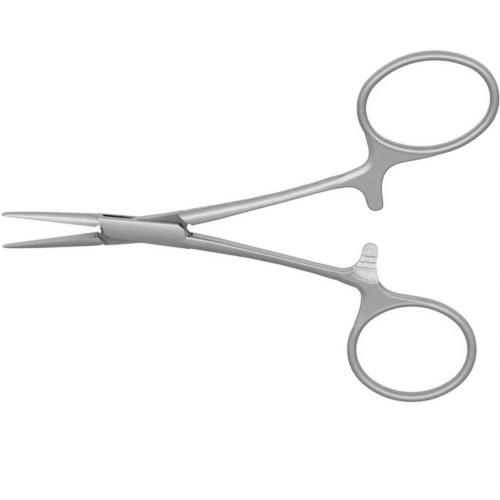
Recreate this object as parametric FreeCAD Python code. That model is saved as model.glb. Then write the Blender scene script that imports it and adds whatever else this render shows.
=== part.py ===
"""Hemostat forceps: a small straight artery clamp with a box lock and a finger ring on each shank.

Each half is drawn closed, lying along the X axis with the pin at X = Y = 0 and its middle plane at Z = 0.
It is then swung open about the pin by half of the resting angle and lifted, so that the flat under the
lock is at Z = 0. Jaws point to -X and rings to +X. All sizes are in millimetres and angles in degrees.
"""

import FreeCAD, Part
import math
import os

from FreeCAD import Vector

# How the instrument lies
rest_half_angle = 6.5

# Jaws, from inside the lock to the tip: position, height of the back, depth, fullness
jaw_reach = 28.0
jaw_sections = [
    (-6.5, 1.90, 3.10, 1.20), (-9.3, 2.20, 3.36, 1.20), (-12.0, 2.06, 3.06, 0.95),
    (-16.0, 1.77, 2.60, 0.80), (-21.0, 1.38, 2.10, 0.80), (-25.0, 0.96, 1.70, 0.80),
    (-27.0, 0.68, 1.42, 0.80), (-27.7, 0.50, 1.14, 0.80), (-jaw_reach, 0.24, 0.74, 0.80),
]

# Serrations across the gripping faces
tooth_pitch = 0.50
tooth_depth = 0.18
tooth_clearance = 0.03
plain_tip_length = 0.5
jaw_side_height = 0.17

# Box lock
box_depth = 3.60
box_end_x = 9.3
box_jaw_end_depth = 3.42
box_shank_end_depth = 3.52
box_top_y = (2.02, 2.30)
box_bottom_y = (2.12, 2.95)
cheek_crown_radius = 6.0
cheek_edge_radius = 0.55
cheek_corner = [(6.4, 3.5), (6.4, 2.10), (7.62, 1.40), (8.0, 0.60), (8.15, -0.10)]
cheek_root = [(8.6, -1.0), (9.6, -2.0)]
cheek_slope_top = 1.55
slot_width = 1.30
slot_edge_x = 8.1
slot_middle_x = 9.7
slot_clearance = 0.03
relief_radius = 0.52
relief_x = 8.95
lying_flat = 0.02

# Waist of the inner half and the shoulders beside it
waist_outline = [
    (-8.7, 0.0), (-7.3, 2.20), (0.0, 2.55), (4.2, 2.60), (8.0, 2.85), (9.5, 0.6),
    (8.7, 0.0), (7.3, -2.20), (0.0, -2.55), (-4.6, -2.40), (-8.0, -2.20), (-9.5, -0.6),
]
shoulder_x = 9.2
shoulder_angle = 48.0
shoulder_clearance = 0.08

# Riveted pin
pin_radius = 1.0
pin_clearance = 0.02

# Shanks, from inside the lock to the web: position, inner wall, outer back, depth, fullness, edge radius
shank_sections = [
    (6.0, 0.03, 2.60, 3.10, 1.35, 0.55), (9.3, 0.03, 2.97, 3.40, 1.35, 0.55),
    (14.6, 0.60, 3.32, 3.12, 1.10, 0.50), (21.0, 1.60, 3.77, 2.84, 0.90, 0.42),
    (27.4, 2.54, 4.49, 2.70, 0.85, 0.36), (33.8, 3.58, 5.55, 2.64, 0.90, 0.32),
    (37.8, 4.12, 6.40, 2.58, 1.10, 0.30), (42.0, 4.65, 7.00, 2.38, 1.00, 0.30),
]

# Web between shank, ring and ratchet arm, drawn for the box half below the closing line
web_depth = 2.50
web_edge_chamfer = 0.28
web_back_chamfer = (1.0, 0.42)
box_web = {
    "outer": [(37.6, -5.8), (39.6, -6.6), (41.2, -7.1), (42.8, -7.6), (43.65, -8.6), (43.95, -10.3),
              (43.9, -12.0), (43.55, -13.9), (43.1, -16.0), (43.2, -19.0)],
    "ring": [(43.2, -19.0), (62.0, -19.0), (62.0, -10.9)],
    "right": [(62.0, -10.9), (58.5, -9.25), (55.0, -8.6), (51.3, -8.35), (48.9, -7.75), (47.3, -6.45),
              (46.45, -4.4), (46.15, -2.1), (46.17, -0.2)],
    "tip": [(46.17, -0.2), (45.95, 0.75), (45.47, 1.3), (44.4, 1.5), (43.6, 1.1), (43.15, 0.2)],
    "inner": [(43.15, 0.2), (42.96, -1.3), (42.4, -2.75), (41.5, -3.65), (40.4, -4.15), (37.6, -4.25)],
}
inner_web = {
    "outer": [(37.6, -5.6), (40.2, -6.55), (42.0, -7.1), (43.8, -7.75), (45.0, -8.65), (45.55, -10.2),
              (45.6, -11.8), (45.4, -13.5), (45.2, -15.2), (45.6, -18.6)],
    "ring": [(45.6, -18.6), (62.0, -18.6), (62.0, -9.55)],
    "right": [(62.0, -9.55), (59.0, -8.75), (56.0, -8.3), (52.6, -8.05), (50.2, -7.6), (48.5, -6.4),
              (47.6, -4.6), (47.25, -2.3), (47.2, 0.2)],
    "tip": [(47.2, 0.2), (47.0, 0.9), (46.2, 1.3), (45.2, 1.3), (44.4, 0.7), (43.95, -0.6)],
    "inner": [(43.95, -0.6), (43.6, -2.3), (42.9, -3.25), (41.8, -3.95), (40.4, -4.2), (37.6, -4.1)],
}

# Finger rings
ring_wall = 1.86
ring_depth = 2.60
ring_section_sides = 16
box_ring = {"centre": (55.03, -19.44), "semi": (11.84, 10.03), "tilt": 5.1}
inner_ring = {"centre": (58.24, -19.24), "semi": (13.10, 9.77), "tilt": -4.2}

# Ratchet teeth
arm_tooth_pitch = 1.2
arm_first_tooth = -0.9
arm_tooth_count = 3
arm_tooth_depth = 0.55
arm_gap = 0.06
arm_floor_reach = 5.8
arm_floor_rise = 0.45
arm_cut_x = (41.0, 48.5)
arm_cut_reach = 3.0
arm_floor_end = [(41.45, -4.6), (44.2, -5.8), (arm_cut_x[1], -5.5)]


def prism(points, bottom, top):
    """Solid of a closed XY outline between two heights."""
    corners = [Vector(x, y, bottom) for x, y in points]
    face = Part.Face(Part.makePolygon(corners + corners[:1]))
    return face.extrude(Vector(0, 0, top - bottom))


def turned_half(points):
    return [(-x, -y) for x, y in points]


def back_curve(x, start, outer, depth, fullness):
    """Crowned back at X = x, from one side of the limb over its outer line to the other side."""
    h = depth / 2
    reach = start + (outer - start) * 4 / 3
    back = Part.BezierCurve()
    back.setPoles([Vector(x, start, h), Vector(x, reach, h * fullness), Vector(x, reach, -h * fullness),
                   Vector(x, start, -h)])
    return back.toShape()


def jaw_section(x, outer, depth, fullness):
    """Wire at X = x: flat closing face, short upright sides and crowned back."""
    h = depth / 2
    side = jaw_side_height
    flat = Part.makePolygon([Vector(x, side, -h), Vector(x, 0, -h), Vector(x, 0, h), Vector(x, side, h)])
    return Part.Wire([back_curve(x, side, outer, depth, fullness)] + flat.Edges)


def jaw_blank():
    """Tapering jaw on the +Y side, from inside the lock to the rounded tip."""
    return Part.makeLoft([jaw_section(*row) for row in jaw_sections], True, True)


def shank_section(x, inner, outer, depth, fullness, r):
    """Wire at X = x on the -Y side: flat inner wall with edges rounded to r, and crowned back."""
    h, cut = depth / 2, r * (1 - math.sqrt(0.5))
    start = -inner - r
    low = Part.Arc(Vector(x, start, -h), Vector(x, -inner - cut, cut - h), Vector(x, -inner, r - h))
    high = Part.Arc(Vector(x, -inner, h - r), Vector(x, -inner - cut, h - cut), Vector(x, start, h))
    flat = Part.makeLine(Vector(x, -inner, r - h), Vector(x, -inner, h - r))
    return Part.Wire([back_curve(x, start, -outer, depth, fullness), low.toShape(), flat, high.toShape()])


def shank_blank():
    """Shank on the -Y side, from inside the lock to the web."""
    return Part.makeLoft([shank_section(*row) for row in shank_sections], True, True)


def oval_arcs(semi):
    """Centre, radius and end angles of the four tangent arcs that stand for an ellipse about the origin."""
    a, b = semi
    c = math.hypot(a, b)
    end_radius = c * (c - a + b) / (2 * a)
    side_radius = c * (c + a - b) / (2 * b)
    turn = math.atan2(side_radius - b, a - end_radius)
    return [
        ((a - end_radius, 0), end_radius, -turn, turn),
        ((0, b - side_radius), side_radius, turn, math.pi - turn),
        ((end_radius - a, 0), end_radius, math.pi - turn, math.pi + turn),
        ((0, side_radius - b), side_radius, math.pi + turn, 2 * math.pi - turn),
    ]


def place_ring(shape, ring):
    shape.rotate(Vector(0, 0, 0), Vector(0, 0, 1), ring["tilt"])
    shape.translate(Vector(*ring["centre"], 0))
    return shape


def ring_section(middle, out):
    """Face of the ring's oval section, its long way along Z, with many narrow flats."""
    step = 2 * math.pi / ring_section_sides
    wide = ring_wall / 2 / math.cos(step / 2)
    high = ring_depth / 2 / math.cos(step / 2)
    corners = []
    for i in range(ring_section_sides):
        angle = (i + 0.5) * step
        corners.append(middle + out * wide * math.cos(angle) + Vector(0, 0, high * math.sin(angle)))
    return Part.Face(Part.makePolygon(corners + corners[:1]))


def finger_ring(ring):
    """Oval ring of oval section, made of four tangent turned arcs."""
    parts = []
    for (cx, cy), radius, first, last in oval_arcs(ring["semi"]):
        out = Vector(math.cos(first), math.sin(first), 0)
        centre = Vector(cx, cy, 0)
        face = ring_section(centre + out * radius, out)
        parts.append(face.revolve(centre, Vector(0, 0, 1), math.degrees(last - first)))
    return place_ring(parts[0].multiFuse(parts[1:]), ring)


def ring_core(ring):
    """Prism inside the middle line of a ring."""
    edges = []
    for (cx, cy), radius, first, last in oval_arcs(ring["semi"]):
        edges.append(Part.Circle(Vector(cx, cy, -box_depth), Vector(0, 0, 1), radius).toShape(first, last))
    return place_ring(Part.Face(Part.Wire(edges)).extrude(Vector(0, 0, 2 * box_depth)), ring)


def spline(points):
    curve = Part.BSplineCurve()
    curve.interpolate([Vector(x, y, -web_depth / 2) for x, y in points])
    return curve.toShape()


def straight(points):
    return Part.makePolygon([Vector(x, y, -web_depth / 2) for x, y in points])


def outline_edges(plate, point):
    """Upper and lower edge of the plate that pass through a point of its outline."""
    post = Part.makeLine(Vector(*point, -box_depth), Vector(*point, box_depth))
    return [e for e in plate.Edges if e.distToShape(post)[0] < 0.001]


def web_plate(web, ring):
    """Flat web with the ratchet arm, its outer edges bevelled."""
    outer, around = web["outer"], web["right"] + web["tip"][1:] + web["inner"][1:]
    lines = [spline(outer), straight(web["ring"]), spline(around), straight([around[-1], outer[0]])]
    outline = Part.Wire([e for line in lines for e in line.Edges])
    plate = Part.Face(outline).extrude(Vector(0, 0, web_depth))
    plate = plate.makeChamfer(web_edge_chamfer, outline_edges(plate, web["tip"][1]))
    plate = plate.makeChamfer(*web_back_chamfer, outline_edges(plate, outer[-2]))
    return plate.cut(ring_core(ring))


def ratchet_cutter():
    """Space above the milled and toothed face of the arm, which looks up."""
    crest = -arm_gap / 2
    floor = crest - arm_tooth_depth
    left, right = arm_cut_x
    far = arm_cut_reach
    profile = [(far, floor + 0.1)]
    for i in range(arm_tooth_count):
        y = arm_first_tooth - i * arm_tooth_pitch
        profile += [(y, crest), (y, floor)]
    profile.append((-arm_floor_reach, arm_floor_rise + floor))
    profile += [(-arm_floor_reach - arm_tooth_pitch, far), (far, far)]
    corners = [Vector(left, y, z) for y, z in profile]
    teeth = Part.Face(Part.makePolygon(corners + corners[:1])).extrude(Vector(right - left, 0, 0))
    end = [Vector(x, y, -far) for x, y in arm_floor_end]
    low = Part.Arc(*end).toShape()
    rest = Part.makePolygon([end[2], Vector(right, far, -far), Vector(left, far, -far), end[0]])
    return teeth.common(Part.Face(Part.Wire([low] + rest.Edges)).extrude(Vector(0, 0, 2 * far)))


def limb(web, ring):
    """Shank, web, arm and ring below the closing line."""
    return shank_blank().multiFuse([web_plate(web, ring), finger_ring(ring)]).cut(ratchet_cutter())


def zigzag(offset):
    """Line of the meshing teeth, moved across by an offset."""
    first = -jaw_reach + plain_tip_length
    count = int((jaw_reach - plain_tip_length - relief_x) / tooth_pitch)
    low, high = offset - tooth_depth / 2, offset + tooth_depth / 2
    points = [(-jaw_reach - 1, low)]
    for i in range(count):
        points += [(first + i * tooth_pitch, low), (first + (i + 0.5) * tooth_pitch, high)]
    return points + [(first + count * tooth_pitch, low), (-relief_x, low)]


def lock_section(x, depth, top_y, bottom_y):
    """Wire at X = x: two crowned faces joined by rounded edges and upright walls."""
    R, r = cheek_crown_radius, cheek_edge_radius
    h = depth / 2

    def corner(y):
        side = 1 if y > 0 else -1
        inside = abs(y) - r
        slope = math.asin(inside / (R - r))
        z = h - R + (R - r) * math.cos(slope)
        touch = Vector(x, side * R * math.sin(slope), h - R + R * math.cos(slope))
        middle = math.pi / 4 + slope / 2
        mid = Vector(x, side * (inside + r * math.sin(middle)), z + r * math.cos(middle))
        return touch, mid, Vector(x, y, z)

    def low(p):
        return Vector(p.x, p.y, -p.z)

    right, left = corner(top_y), corner(-bottom_y)
    edges = [
        Part.Arc(left[0], Vector(x, 0, h), right[0]).toShape(), Part.Arc(*right).toShape(),
        Part.makeLine(right[2], low(right[2])), Part.Arc(*[low(p) for p in reversed(right)]).toShape(),
        Part.Arc(low(right[0]), Vector(x, 0, -h), low(left[0])).toShape(),
        Part.Arc(*[low(p) for p in left]).toShape(), Part.makeLine(low(left[2]), left[2]),
        Part.Arc(*reversed(left)).toShape(),
    ]
    return Part.Wire(edges)


def lock_bar():
    """Crowned bar that both cheeks and the pin are cut from."""
    top, bottom = box_top_y, box_bottom_y
    rows = [
        (-box_end_x, box_jaw_end_depth, top[0], bottom[0]),
        (0, box_depth, sum(top) / 2, sum(bottom) / 2),
        (box_end_x, box_shank_end_depth, top[1], bottom[1]),
    ]
    bar = Part.makeLoft([lock_section(*row) for row in rows], True, True)
    under = -box_depth / 2 + lying_flat
    return bar.common(prism([(-20, -9), (20, -9), (20, 9), (-20, 9)], under, 9))


def cheek_end():
    """Space beyond the upper cheek at the shank end, its foot along the closed shoulder of the inner half."""
    slope = math.tan(math.radians(shoulder_angle))
    beyond = cheek_root + [(12, -0.5), (12, 3.5)]
    foot = [(max(x, shoulder_x - shoulder_clearance - y / slope), y) for x, y in cheek_corner]
    wires = []
    for points, z in ((foot, slot_width / 2), (cheek_corner, cheek_slope_top)):
        corners = [Vector(x, y, z) for x, y in points + beyond]
        wires.append(Part.makePolygon(corners + corners[:1]))
    return Part.makeLoft(wires, True, True).fuse(prism(cheek_corner + beyond, cheek_slope_top, box_depth))


def lock_block():
    """Lock body with the four cheek ends shaped."""
    origin = Vector(0, 0, 0)
    up = cheek_end()
    right = [up, up.mirror(origin, Vector(0, 0, 1))]
    left = [shape.mirror(origin, Vector(1, 0, 0)).mirror(origin, Vector(0, 1, 0)) for shape in right]
    return lock_bar().cut(right + left)


def slot():
    """Passage between the cheeks for the waist of the inner half."""
    side = [(-slot_middle_x, -6), (-slot_middle_x, 0), (-slot_edge_x, 2.4), (-slot_edge_x, 6)]
    return prism(side + turned_half(side), -slot_width / 2, slot_width / 2)


def round_cutter(radius, x=0, y=0):
    return Part.makeCylinder(radius, 2 * box_depth, Vector(x, y, -box_depth))


def pin_body():
    """Pin that fills the bore of both cheeks and follows their crown."""
    return round_cutter(pin_radius).common(lock_bar())


def relief(side):
    return round_cutter(relief_radius, side * relief_x, side * 0.05)


def beyond_shoulder(side):
    """Space beyond a shoulder of the inner half, on the jaw side (-1) or on the shank side (+1)."""
    far_x = inner_ring["centre"][0] + 2 * inner_ring["semi"][0]
    far_y = 2 * inner_ring["semi"][1] - inner_ring["centre"][1]
    run = far_y / math.tan(math.radians(shoulder_angle))
    points = [(shoulder_x - run, far_y), (shoulder_x + run, -far_y), (far_x, -far_y), (far_x, far_y)]
    return prism([(side * x, side * y) for x, y in points], -box_depth, box_depth)


def waist():
    """Thin middle of the inner half, which lies in the slot."""
    h = slot_width / 2 - slot_clearance
    return prism(waist_outline, -h, h)


def toothed_jaw(side):
    """Jaw with serrated face, above the closing line (+1) or below it (-1)."""
    away = [(-relief_x, -side * 3), (-jaw_reach - 1, -side * 3)]
    jaw = jaw_blank()
    if side < 0:
        jaw = jaw.mirror(Vector(0, 0, 0), Vector(0, 1, 0))
    return jaw.cut(prism(zigzag(side * tooth_clearance) + away, -box_depth, box_depth))


def box_half():
    body = lock_block().multiFuse([toothed_jaw(1), limb(box_web, box_ring)])
    return body.cut([slot(), relief(-1), round_cutter(pin_radius)]).removeSplitter()


def inner_half():
    origin = Vector(0, 0, 0)
    shank = limb(inner_web, inner_ring).mirror(origin, Vector(0, 1, 0)).mirror(origin, Vector(0, 0, 1))
    ends = [toothed_jaw(-1).common(beyond_shoulder(-1)), shank.common(beyond_shoulder(1))]
    body = waist().multiFuse(ends)
    return body.cut([relief(1), round_cutter(pin_radius + pin_clearance)]).removeSplitter()


def laid_down(shape, angle):
    shape.rotate(Vector(0, 0, 0), Vector(0, 0, 1), angle)
    shape.translate(Vector(0, 0, box_depth / 2 - lying_flat))
    return shape


def main():
    os.makedirs("parts", exist_ok=True)
    pieces = {
        "box_half": laid_down(box_half(), -rest_half_angle),
        "inner_half": laid_down(inner_half(), rest_half_angle),
        "lock_pin": laid_down(pin_body(), 0),
    }
    for name, shape in pieces.items():
        shape.exportStep(f"parts/{name}.step")
        b = shape.BoundBox
        print(name, len(shape.Solids), "solids", len(shape.Faces), "faces", shape.isValid())
        print([round(v, 2) for v in (shape.Volume, b.XMin, b.XMax, b.YMin, b.YMax, b.ZMin, b.ZMax)])


main()
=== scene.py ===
import math

import bpy
from mathutils import Matrix, Vector


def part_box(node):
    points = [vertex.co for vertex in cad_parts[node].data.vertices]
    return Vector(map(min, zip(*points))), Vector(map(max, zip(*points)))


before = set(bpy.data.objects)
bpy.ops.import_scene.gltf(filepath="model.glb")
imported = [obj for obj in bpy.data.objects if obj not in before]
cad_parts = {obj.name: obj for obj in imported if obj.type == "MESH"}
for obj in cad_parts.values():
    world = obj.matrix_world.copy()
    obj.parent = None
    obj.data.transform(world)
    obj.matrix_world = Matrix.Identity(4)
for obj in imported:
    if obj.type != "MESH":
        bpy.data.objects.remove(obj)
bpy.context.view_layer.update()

bpy.ops.object.select_all(action="DESELECT")

mm = 0.001  # metres
picturePixels = 500  # across the picture


def linear(hexColour):
    # scene linear colour of an sRGB hex value
    parts = [int(hexColour[i:i + 2], 16) / 255 for i in (1, 3, 5)]
    return [p / 12.92 if p <= 0.04045 else ((p + 0.055) / 1.055) ** 2.4 for p in parts] + [1]


def addNode(tree, kind, settings=None, inputs=None):
    # adds a node; an input takes a value, a socket, or another node's first output
    node = tree.nodes.new(kind)
    for name, value in (settings or {}).items():
        setattr(node, name, value)
    for name, value in (inputs or {}).items():
        if isinstance(value, bpy.types.Node):
            value = value.outputs[0]
        if isinstance(value, bpy.types.NodeSocket):
            tree.links.new(value, node.inputs[name])
        else:
            node.inputs[name].default_value = value
    return node


def clearMaterial(name):
    material = bpy.data.materials.new(name)
    material.use_nodes = True
    material.node_tree.nodes.clear()
    return material, material.node_tree


# The ratchets' ground faces: rougher, and paler as a painted highlight, as are the walls at their floor ends;
# a window is the middle and the reach along each axis, in mm
ratchetFinishAndHighlight = {
    # the paler colour is a painted highlight
    "colour": "#F4F5F6", "rougher": 0.40, "cornerLift": 0.25,
    "markSize": 0.45, "markSpan": (0.35, 0.65), "markShade": (-0.16, 0.06),
    "markWarp": 1.5, "markRelief": 60.0,
    "turn": 6.5,  # degrees that each half lies open
    "faces": {"X": (44.75, 3.75), "Y": (-1.4, 4.5), "Z": (1.78, 0.66)},
    "floorEnd": [{"X": (43.8, 2.4), "Y": (-5.3, 0.95), "Z": (1.78, 1.3)},
                 {"X": (46.6, 0.5), "Y": (-5.85, 0.3), "Z": (1.78, 1.3)}],
}


def inWindow(tree, mask, place, window):
    # the part of a mask that lies within a window
    for axis, (middle, reach) in window.items():
        inside = addNode(tree, "ShaderNodeMath", {"operation": "COMPARE"},
                         {0: place.outputs[axis], 1: middle * mm, 2: reach * mm})
        mask = addNode(tree, "ShaderNodeMath", {"operation": "MULTIPLY"}, {0: mask, 1: inside})
    return mask


def ratchetMask(tree, along, flat):
    # 1 on the ground faces of both arms and the walls at their floor ends, which get the painted highlight;
    # the arms are folded to the -Y side and turned back to closed first
    side = addNode(tree, "ShaderNodeMath", {"operation": "ABSOLUTE"}, {0: along.outputs["Y"]})
    side = addNode(tree, "ShaderNodeMath", {"operation": "MULTIPLY"}, {0: side, 1: -1.0})
    folded = addNode(tree, "ShaderNodeCombineXYZ", {},
                     {"X": along.outputs["X"], "Y": side, "Z": along.outputs["Z"]})
    closed = addNode(tree, "ShaderNodeMapping", {},
                     {"Vector": folded, "Rotation": (0, 0, math.radians(ratchetFinishAndHighlight["turn"]))})
    arm = addNode(tree, "ShaderNodeSeparateXYZ", {}, {"Vector": closed})
    mask = inWindow(tree, flat, arm, ratchetFinishAndHighlight["faces"])
    upright = addNode(tree, "ShaderNodeMath", {"operation": "SUBTRACT"}, {0: 1.0, 1: flat})
    for window in ratchetFinishAndHighlight["floorEnd"]:
        wall = inWindow(tree, upright, arm, window)
        mask = addNode(tree, "ShaderNodeMath", {"operation": "MAXIMUM"}, {0: mask, 1: wall})
    return mask


# The waist's flats in the box lock, darkened with painted shade
waistPaintedShade = {"shade": 0.60, "fade": (0.5, 4.5), "flats": {"X": (0.0, 9.8), "Y": (0.0, 5.0), "Z": (1.78, 0.66)}}


def paintWaistShade(tree, along, flat):
    # 1 all over, and painted shade that darkens the waist's flats
    mask = inWindow(tree, flat, along, waistPaintedShade["flats"])
    away = addNode(tree, "ShaderNodeMath", {"operation": "ABSOLUTE"}, {0: along.outputs["X"]})
    start, end = (x * mm for x in waistPaintedShade["fade"])
    fade = addNode(tree, "ShaderNodeMapRange", {}, {"Value": away, "From Min": start, "From Max": end})
    mask = addNode(tree, "ShaderNodeMath", {"operation": "MULTIPLY"}, {0: mask, 1: fade})
    return addNode(tree, "ShaderNodeMapRange", {}, {"Value": mask, "To Min": 1.0, "To Max": waistPaintedShade["shade"]})


# The steel all over, sizes in mm; the real grain and polishing lines are finer, and wouldn't show
steel = {
    "colour": "#C6C7C8", "roughness": (0.25, 0.37), "flatLimit": 0.6, "raySamples": 8,
    "cloudSize": 2.4, "cloudDetail": 4.0, "cloudShade": (0.90, 1.08),
    "lineSize": (3.0, 0.15, 0.15), "lineSpan": (0.3, 0.7), "lineShade": (0.95, 1.05),
    "grainSize": 0.19, "grainStrength": 0.05, "grainDepth": 0.02, "fineDetail": 3.0,
    "cornerReach": 2.4, "paintedCornerShade": 0.2,  # painted shade in corners, in crevices and near the floor
    "jawShadeLift": 0.35, "jawFade": (-9.0, -16.0),  # less painted shade on the teeth towards the tips
    "dullRing": 0.14, "dullFade": (-10.0, -20.0),
    "edgeRadius": (0.08, 0.35), "edgeFade": (-10.0, 2.0), "pinBlend": 1.5,
}


def steelEdges(tree, along, pad):
    # softened edges: nearly sharp on the jaws and ratchets, rounder behind them, and none on the flush pin
    small, large = (r * mm for r in steel["edgeRadius"])
    start, end = (x * mm for x in steel["edgeFade"])
    radius = addNode(tree, "ShaderNodeMapRange", {}, {"Value": along.outputs["X"], "From Min": start,
                                                      "From Max": end, "To Min": small, "To Max": large})
    sharper = addNode(tree, "ShaderNodeMath", {"operation": "MULTIPLY"}, {0: pad, 1: large - small})
    radius = addNode(tree, "ShaderNodeMath", {"operation": "SUBTRACT"}, {0: radius, 1: sharper})
    level = addNode(tree, "ShaderNodeCombineXYZ", {}, {"X": along.outputs["X"], "Y": along.outputs["Y"]})
    fromPin = addNode(tree, "ShaderNodeVectorMath", {"operation": "LENGTH"}, {0: level}).outputs["Value"]
    clear = addNode(tree, "ShaderNodeMath", {"operation": "GREATER_THAN"},
                    {0: fromPin, 1: steel["pinBlend"] * mm})
    radius = addNode(tree, "ShaderNodeMath", {"operation": "MULTIPLY"}, {0: radius, 1: clear})
    return addNode(tree, "ShaderNodeBevel", {"samples": steel["raySamples"]}, {"Radius": radius})


def steelColour(tree, along, flat, pad, cloud, brushed, marks):
    # grey with soft clouds and fine lines, with painted shade in the corners and on the waist's flats, and a
    # painted highlight on the ratchets
    low, high = steel["cloudShade"]
    shade = addNode(tree, "ShaderNodeMapRange", {}, {"Value": cloud, "To Min": low, "To Max": high})
    start, end = steel["lineSpan"]
    low, high = steel["lineShade"]
    lines = addNode(tree, "ShaderNodeMapRange", {},
                    {"Value": brushed, "From Min": start, "From Max": end, "To Min": low, "To Max": high})
    shade = addNode(tree, "ShaderNodeMath", {"operation": "MULTIPLY"}, {0: shade, 1: lines})
    start, end = ratchetFinishAndHighlight["markSpan"]
    low, high = ratchetFinishAndHighlight["markShade"]
    uneven = addNode(tree, "ShaderNodeMapRange", {},
                     {"Value": marks, "From Min": start, "From Max": end, "To Min": low, "To Max": high})
    uneven = addNode(tree, "ShaderNodeMath", {"operation": "MULTIPLY"}, {0: pad, 1: uneven})
    shade = addNode(tree, "ShaderNodeMath", {"operation": "ADD"}, {0: shade, 1: uneven})
    # painted shade on the waist's flats
    shade = addNode(tree, "ShaderNodeMath", {"operation": "MULTIPLY"},
                    {0: shade, 1: paintWaistShade(tree, along, flat)})
    # painted shade: darker where other surfaces are near, in corners, crevices, between the halves and near
    # the floor
    corner = addNode(tree, "ShaderNodeAmbientOcclusion", {"samples": steel["raySamples"]},
                     {"Distance": steel["cornerReach"] * mm})
    padLift = addNode(tree, "ShaderNodeMath", {"operation": "MULTIPLY"}, {0: pad, 1: ratchetFinishAndHighlight["cornerLift"]})
    reached = addNode(tree, "ShaderNodeMath", {"operation": "ADD"}, {0: corner.outputs["AO"], 1: padLift})
    start, end = (x * mm for x in steel["jawFade"])
    jawShadeLift = addNode(tree, "ShaderNodeMapRange", {}, {"Value": along.outputs["X"], "From Min": start,
                                                       "From Max": end, "To Max": steel["jawShadeLift"]})
    reached = addNode(tree, "ShaderNodeMath", {"operation": "ADD"}, {0: reached, 1: jawShadeLift})
    paintedShade = addNode(tree, "ShaderNodeMapRange", {}, {"Value": reached, "To Min": steel["paintedCornerShade"]})
    shade = addNode(tree, "ShaderNodeMath", {"operation": "MULTIPLY"}, {0: shade, 1: paintedShade})
    # painted highlight: the ratchets' ground faces and the walls at their floor ends are paler
    metal = addNode(tree, "ShaderNodeMix", {"data_type": "RGBA"},
                    {0: pad, 6: linear(steel["colour"]), 7: linear(ratchetFinishAndHighlight["colour"])}).outputs[2]
    return addNode(tree, "ShaderNodeVectorMath", {"operation": "SCALE"}, {0: metal, "Scale": shade})


def steelRoughness(tree, along, pad, cloud):
    # uneven satin, duller on the ring of the box half and on the ratchets
    low, high = steel["roughness"]
    rough = addNode(tree, "ShaderNodeMapRange", {}, {"Value": cloud, "To Min": low, "To Max": high})
    rougher = addNode(tree, "ShaderNodeMath", {"operation": "MULTIPLY"}, {0: pad, 1: ratchetFinishAndHighlight["rougher"]})
    rough = addNode(tree, "ShaderNodeMath", {"operation": "ADD"}, {0: rough, 1: rougher})
    start, end = (y * mm for y in steel["dullFade"])
    dull = addNode(tree, "ShaderNodeMapRange", {}, {"Value": along.outputs["Y"], "From Min": start,
                                                    "From Max": end, "To Max": steel["dullRing"]})
    return addNode(tree, "ShaderNodeMath", {"operation": "ADD"}, {0: rough, 1: dull})


def makeSteel():
    # satin stainless steel, forged and wheel polished: even light grey with broad soft highlights and a fine
    # grain, with painted shade in the corners and on the waist's flats, and a painted highlight on the
    # rougher ground faces of the ratchets
    material, tree = clearMaterial("satinStainlessSteel")
    place = addNode(tree, "ShaderNodeTexCoord").outputs["Object"]
    along = addNode(tree, "ShaderNodeSeparateXYZ", {}, {"Vector": place})
    normal = addNode(tree, "ShaderNodeNewGeometry").outputs["True Normal"]
    facing = addNode(tree, "ShaderNodeSeparateXYZ", {}, {"Vector": normal}).outputs["Z"]
    facing = addNode(tree, "ShaderNodeMath", {"operation": "ABSOLUTE"}, {0: facing})
    flat = addNode(tree, "ShaderNodeMath", {"operation": "GREATER_THAN"}, {0: facing, 1: steel["flatLimit"]})
    pad = ratchetMask(tree, along, flat)
    lines = addNode(tree, "ShaderNodeMapping", {},
                    {"Vector": place, "Scale": [1 / (length * mm) for length in steel["lineSize"]]})
    cloud = addNode(tree, "ShaderNodeTexNoise", {},
                    {"Vector": place, "Scale": 1 / (steel["cloudSize"] * mm), "Detail": steel["cloudDetail"]})
    fine = steel["fineDetail"]
    brushed = addNode(tree, "ShaderNodeTexNoise", {}, {"Vector": lines, "Scale": 1.0, "Detail": fine})
    grain = addNode(tree, "ShaderNodeTexNoise", {},
                    {"Vector": place, "Scale": 1 / (steel["grainSize"] * mm), "Detail": fine})
    marks = addNode(tree, "ShaderNodeTexNoise", {}, {
        "Vector": place, "Scale": 1 / (ratchetFinishAndHighlight["markSize"] * mm), "Detail": fine,
        "Distortion": ratchetFinishAndHighlight["markWarp"]})
    relief = addNode(tree, "ShaderNodeMath", {"operation": "MULTIPLY"}, {0: marks, 1: ratchetFinishAndHighlight["markRelief"]})
    relief = addNode(tree, "ShaderNodeMath", {"operation": "MULTIPLY"}, {0: pad, 1: relief})
    relief = addNode(tree, "ShaderNodeMath", {"operation": "ADD"}, {0: grain, 1: relief})
    bump = addNode(tree, "ShaderNodeBump", {}, {
        "Strength": steel["grainStrength"], "Distance": steel["grainDepth"] * mm, "Height": relief,
        "Normal": steelEdges(tree, along, pad)})
    shader = addNode(tree, "ShaderNodeBsdfPrincipled", {}, {
        "Metallic": 1.0, "Base Color": steelColour(tree, along, flat, pad, cloud, brushed, marks),
        "Roughness": steelRoughness(tree, along, pad, cloud), "Normal": bump})
    addNode(tree, "ShaderNodeOutputMaterial", {}, {"Surface": shader})
    return material


# The sheet under the instrument: its glow and matt colour are what the camera sees, corners in metres
sheet = {"colour": "#D6D6D6", "gloss": 0.75, "roughness": 0.15, "glow": 0.90, "matt": "#6A6A6A",
         "corners": [(-0.6, -0.6), (0.7, -0.6), (0.7, 0.6), (-0.6, 0.6)]}


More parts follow.
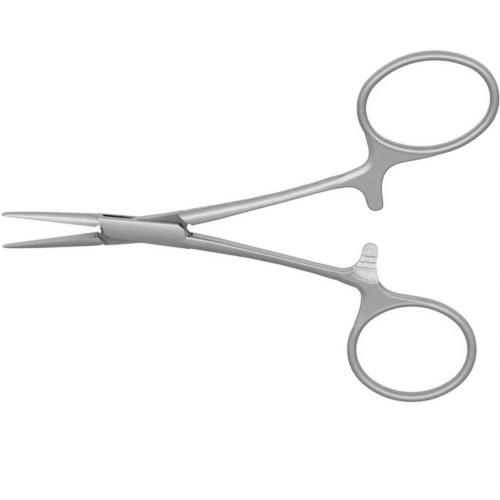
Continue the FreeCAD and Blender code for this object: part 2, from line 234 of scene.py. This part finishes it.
def makeFloor():
    # white acrylic sheet, cast: glossy where the steel mirrors it, and lifted to white for the camera, which
    # leaves a soft shadow on it
    material, tree = clearMaterial("whiteAcrylicSheet")
    path = addNode(tree, "ShaderNodeLightPath").outputs["Is Camera Ray"]
    matt = addNode(tree, "ShaderNodeBsdfDiffuse", {}, {"Color": linear(sheet["colour"])})
    gloss = addNode(tree, "ShaderNodeBsdfAnisotropic", {},
                    {"Color": linear(sheet["colour"]), "Roughness": sheet["roughness"]})
    acrylic = addNode(tree, "ShaderNodeMixShader", {}, {0: sheet["gloss"], 1: matt, 2: gloss})
    glow = addNode(tree, "ShaderNodeEmission", {}, {"Strength": sheet["glow"]})
    weak = addNode(tree, "ShaderNodeBsdfDiffuse", {}, {"Color": linear(sheet["matt"])})
    seen = addNode(tree, "ShaderNodeAddShader", {}, {0: glow, 1: weak})
    mix = addNode(tree, "ShaderNodeMixShader", {}, {0: path, 1: acrylic, 2: seen})
    addNode(tree, "ShaderNodeOutputMaterial", {}, {"Surface": mix})
    mesh = bpy.data.meshes.new("floor")
    lowest = min(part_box(name)[0].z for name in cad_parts)
    mesh.from_pydata([(x, y, lowest) for x, y in sheet["corners"]], [], [(0, 1, 2, 3)])
    floor = bpy.data.objects.new("floor", mesh)
    bpy.context.scene.collection.objects.link(floor)
    floor.data.materials.append(material)


# Brightness of the surroundings by degrees round the X axis, from the -Y horizon to the +Y horizon
sky = {-90: 0.30, -60: 0.36, -40: 0.46, -20: 0.60, 0: 0.80, 20: 1.25, 40: 1.30, 60: 0.85, 90: 0.65}


def makeSky():
    # soft surroundings; the camera sees them white
    world = bpy.data.worlds.new("studio")
    bpy.context.scene.world = world
    world.use_nodes = True
    tree = world.node_tree
    tree.nodes.clear()
    way = addNode(tree, "ShaderNodeTexCoord").outputs["Generated"]
    split = addNode(tree, "ShaderNodeSeparateXYZ", {}, {"Vector": way})
    angle = addNode(tree, "ShaderNodeMath", {"operation": "ARCTAN2"},
                    {0: split.outputs["Y"], 1: split.outputs["Z"]})
    place = addNode(tree, "ShaderNodeMapRange", {},
                    {"Value": angle, "From Min": -math.pi / 2, "From Max": math.pi / 2})
    ramp = addNode(tree, "ShaderNodeValToRGB", {}, {0: place})
    ramp.color_ramp.interpolation = "B_SPLINE"
    brightest = 2.0  # a ramp holds up to 1, so it holds shares of this
    stops = ramp.color_ramp.elements
    for i, (degrees, value) in enumerate(sky.items()):
        stop = stops[i] if i < 2 else stops.new(0.5)  # the next line puts it in its place
        stop.position = degrees / 180 + 0.5
        stop.color = (*[value / brightest] * 3, 1)
    path = addNode(tree, "ShaderNodeLightPath").outputs["Is Camera Ray"]
    grey = addNode(tree, "ShaderNodeBackground", {}, {"Color": ramp, "Strength": brightest})
    white = addNode(tree, "ShaderNodeBackground", {}, {"Strength": 1.0})
    mix = addNode(tree, "ShaderNodeMixShader", {}, {0: path, 1: grey, 2: white})
    addNode(tree, "ShaderNodeOutputWorld", {}, {"Surface": mix})


def aim(thing, place, target, up):
    # puts a thing at a place, looking at a target
    back = (place - target).normalized()
    right = up.cross(back).normalized()
    turn = Matrix((right, back.cross(right), back)).transposed().to_4x4()
    thing.matrix_world = Matrix.Translation(place) @ turn


# The lamp: degrees from straight above towards +Y, watts, and metres
softBox = {"tilt": 27.0, "energy": 4.5, "length": 2.4, "width": 0.85, "distance": 1.2, "target": (0.02, 0, 0)}


def makeLights():
    # one long soft box over the +Y side
    data = bpy.data.lights.new("softBox", "AREA")
    data.shape = "RECTANGLE"
    data.size, data.size_y = softBox["length"], softBox["width"]
    data.energy = softBox["energy"]
    tilt = math.radians(softBox["tilt"])
    way = Vector((0, math.sin(tilt), math.cos(tilt)))
    lamp = bpy.data.objects.new("softBox", data)
    bpy.context.scene.collection.objects.link(lamp)
    target = Vector(softBox["target"])
    aim(lamp, target + way * softBox["distance"], target, Vector((1, 0, 0)).cross(way))


# The camera: degrees from straight above towards +Y and of roll, the picture's scale, the pin's place in it,
# the height in mm at which both hold, the distance in metres, and the sensor's width in mm
camera = {"tilt": 20.0, "roll": 0.385, "mmPerPixel": 0.196, "pinPixel": (144.0, 229.2), "height": 1.78,
          "distance": 2.0, "sensor": 36.0, "clipEnd": 20}


def makeCamera():
    # over the +Y side, so that +Y is up in the picture
    tilt, roll = math.radians(camera["tilt"]), math.radians(camera["roll"])
    back = Vector((0, math.sin(tilt), math.cos(tilt)))
    across, along = Vector((1, 0, 0)), Vector((0, math.cos(tilt), -math.sin(tilt)))
    right = across * math.cos(roll) - along * math.sin(roll)
    up = across * math.sin(roll) + along * math.cos(roll)
    pixel = camera["mmPerPixel"] * mm
    u, v = (picturePixels / 2 - place for place in camera["pinPixel"])
    middle = Vector((0, 0, camera["height"] * mm)) + (right * u - up * v) * pixel
    data = bpy.data.cameras.new("photoCamera")
    data.sensor_width = camera["sensor"]
    data.lens = camera["sensor"] * camera["distance"] / (picturePixels * pixel)
    data.clip_end = camera["clipEnd"]
    thing = bpy.data.objects.new("photoCamera", data)
    bpy.context.scene.collection.objects.link(thing)
    aim(thing, middle + back * camera["distance"], middle, up)
    bpy.context.scene.camera = thing


makeCamera()
print("camera made")
makeSky()
makeLights()
makeFloor()
print("studio made")

metal = makeSteel()
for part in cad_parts.values():
    part.data.materials.clear()
    part.data.materials.append(metal)
print("materials made")

bpy.context.scene.view_settings.view_transform = "Standard"
